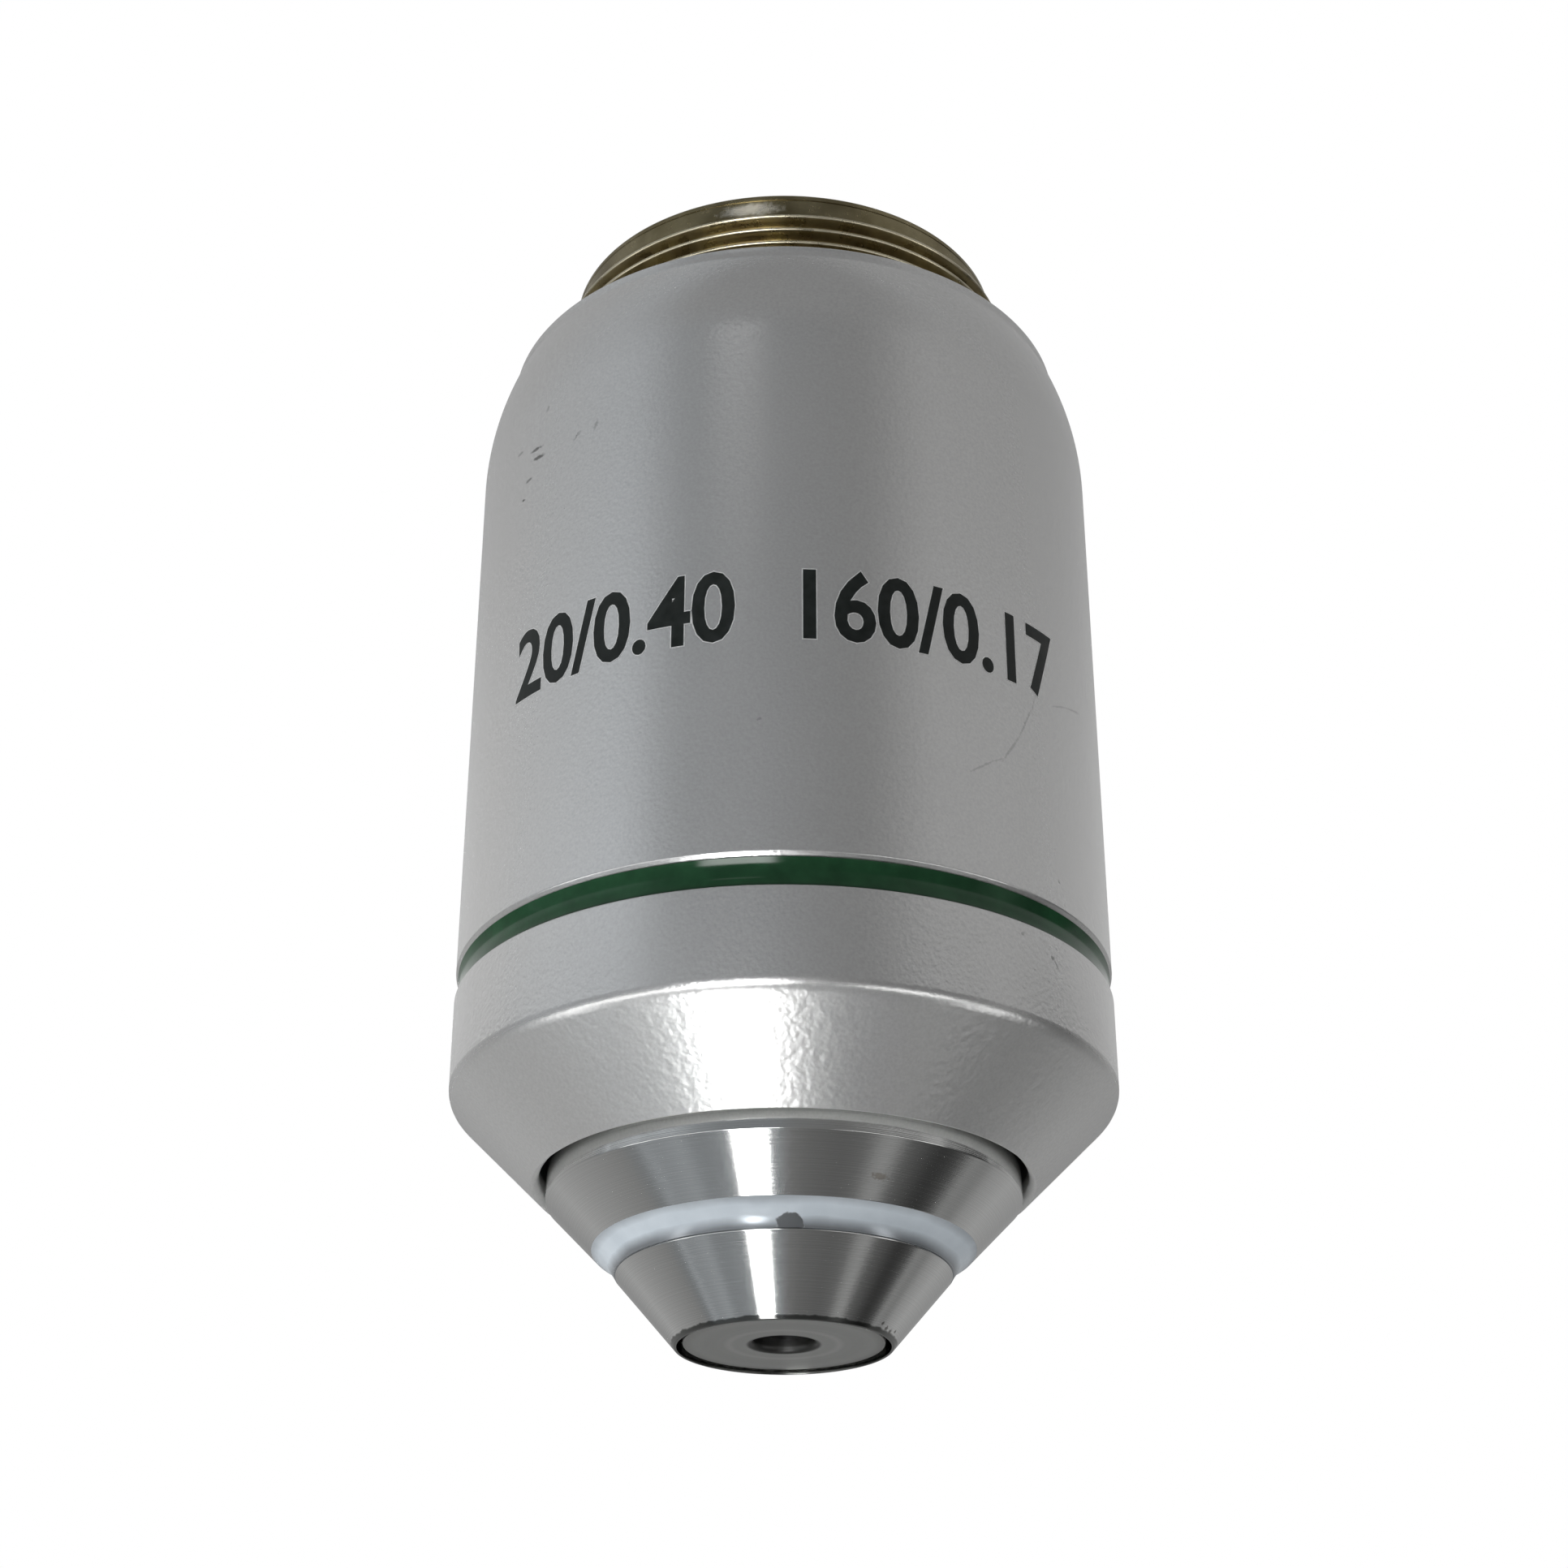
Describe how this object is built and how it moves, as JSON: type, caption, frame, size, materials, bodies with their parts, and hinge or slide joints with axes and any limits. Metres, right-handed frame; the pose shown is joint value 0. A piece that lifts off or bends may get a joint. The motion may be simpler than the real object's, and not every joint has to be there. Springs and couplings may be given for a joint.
{
  "type": "microscope objective",
  "caption": "Screw-in microscope objective with a silver barrel, green band, and a bright conical nose with a white ring that retracts on a spring.",
  "frame": {"origin": "on the optical axis, in the plane of the seating shoulder where the mount thread starts", "axes": "+Z along the optical axis, out of the mount thread and away from the specimen; the nose points to -Z; the numbers on the barrel face -Y"},
  "size_m": [0.027, 0.027, 0.0484],
  "materials": {
    "satin_silver": "satin silver lacquer with fine metal flake",
    "bare_brass": "bare turned brass, dulled",
    "green_enamel": "gloss enamel",
    "white_enamel": "gloss enamel, chipped",
    "bright_chrome": "turned and plated, with fine turning lines",
    "grey_plate": "fine turned, matt grey",
    "black_anodised": "matt black anodised",
    "cell_brass": "turned",
    "spring_steel": "bright drawn",
    "optical_glass": "polished and coated"
  },
  "bodies": {
    "barrel": {"mount_tube": "bare_brass", "upper_sleeve": "satin_silver", "colour_band": "green_enamel", "lower_sleeve": "satin_silver", "spring_retainer": "black_anodised", "guide_screw": "spring_steel", "parfocal_shim": "spring_steel", "return_spring": "spring_steel"},
    "lens_carriage": {"slip_washer": "spring_steel", "carriage_tube": "black_anodised", "nosepiece": "bright_chrome", "immersion_ring": "white_enamel", "front_cell": "grey_plate", "front_lens": "optical_glass", "middle_cell": "cell_brass", "middle_flint": "optical_glass", "middle_crown": "optical_glass", "spacer_tube": "black_anodised", "rear_cell": "cell_brass", "rear_flint": "optical_glass", "rear_crown": "optical_glass", "aperture_stop": "black_anodised", "stack_ring": "black_anodised"}
  },
  "joints": [
    {"name": "nose_retract", "type": "slide", "parent": "barrel", "child": "lens_carriage", "axis": [0, 0, 1], "range_m": [0, 0.002], "stiffness_N_per_m": 204, "springref_m": -0.006, "deforming": ["return_spring"]}
  ]
}
